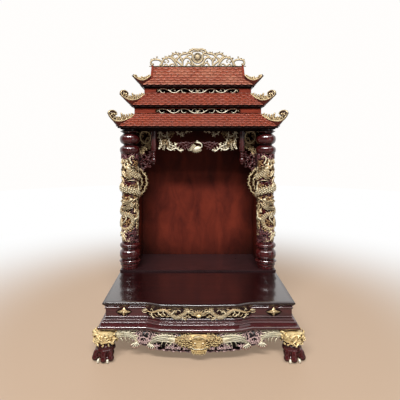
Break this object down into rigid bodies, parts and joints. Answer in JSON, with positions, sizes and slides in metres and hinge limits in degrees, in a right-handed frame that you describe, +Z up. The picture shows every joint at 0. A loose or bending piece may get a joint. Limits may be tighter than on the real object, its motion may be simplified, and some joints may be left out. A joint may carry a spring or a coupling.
{
  "type": "wealth god altar",
  "caption": "Floor-standing household shrine in lacquered rosewood: a low platform on paw feet, an open cabinet with dragon columns, and a tiered tiled roof with gilded carving.",
  "frame": {"origin": "on the floor, below the middle of the altar's footprint", "axes": "+Z up, the open front faces -Y, +X to the viewer's right"},
  "size_m": [0.8458, 0.68, 1.3296],
  "materials": {
    "lacquered_rosewood": "glossy dark red-brown lacquer",
    "dark_wood": "dark lacquered wood in shade",
    "roof_wood": "satin orange-brown lacquer",
    "cabinet_floor_wood": "satin dark brown lacquer",
    "antique_gilding": "rubbed antique gilding over carved wood"
  },
  "bodies": {
    "root": {"platform_board": "lacquered_rosewood", "frieze_front": "lacquered_rosewood", "frieze_sides": "lacquered_rosewood", "frieze_back": "lacquered_rosewood", "moulding_front": "lacquered_rosewood", "moulding_sides": "lacquered_rosewood", "moulding_back": "lacquered_rosewood", "bottom_board": "dark_wood", "apron_front": "lacquered_rosewood", "apron_sides": "lacquered_rosewood", "apron_back": "lacquered_rosewood", "leg_front_left": "lacquered_rosewood", "leg_front_right": "lacquered_rosewood", "leg_back_left": "lacquered_rosewood", "leg_back_right": "lacquered_rosewood", "apron_mask": "antique_gilding", "frieze_carvings": "antique_gilding", "cabinet_floor": "cabinet_floor_wood", "column_left": "lacquered_rosewood", "column_right": "lacquered_rosewood", "dragon_left": "antique_gilding", "dragon_right": "antique_gilding", "column_brackets": "antique_gilding", "pendants": "lacquered_rosewood", "valance": "antique_gilding", "lintel": "dark_wood", "side_walls": "lacquered_rosewood", "back_panel": "lacquered_rosewood", "ceiling_board": "dark_wood", "lower_slope_front": "roof_wood", "lower_slope_sides": "roof_wood", "middle_deck": "dark_wood", "middle_slope_front": "roof_wood", "middle_slope_sides": "roof_wood", "upper_deck": "dark_wood", "upper_slope_front": "roof_wood", "upper_slope_sides": "roof_wood", "upper_slope_back": "roof_wood", "box_fronts": "lacquered_rosewood", "box_sides": "lacquered_rosewood", "box_backs": "lacquered_rosewood", "gables": "lacquered_rosewood", "corner_horns": "antique_gilding", "scroll_panels": "antique_gilding", "crest": "antique_gilding"}
  },
  "joints": []
}
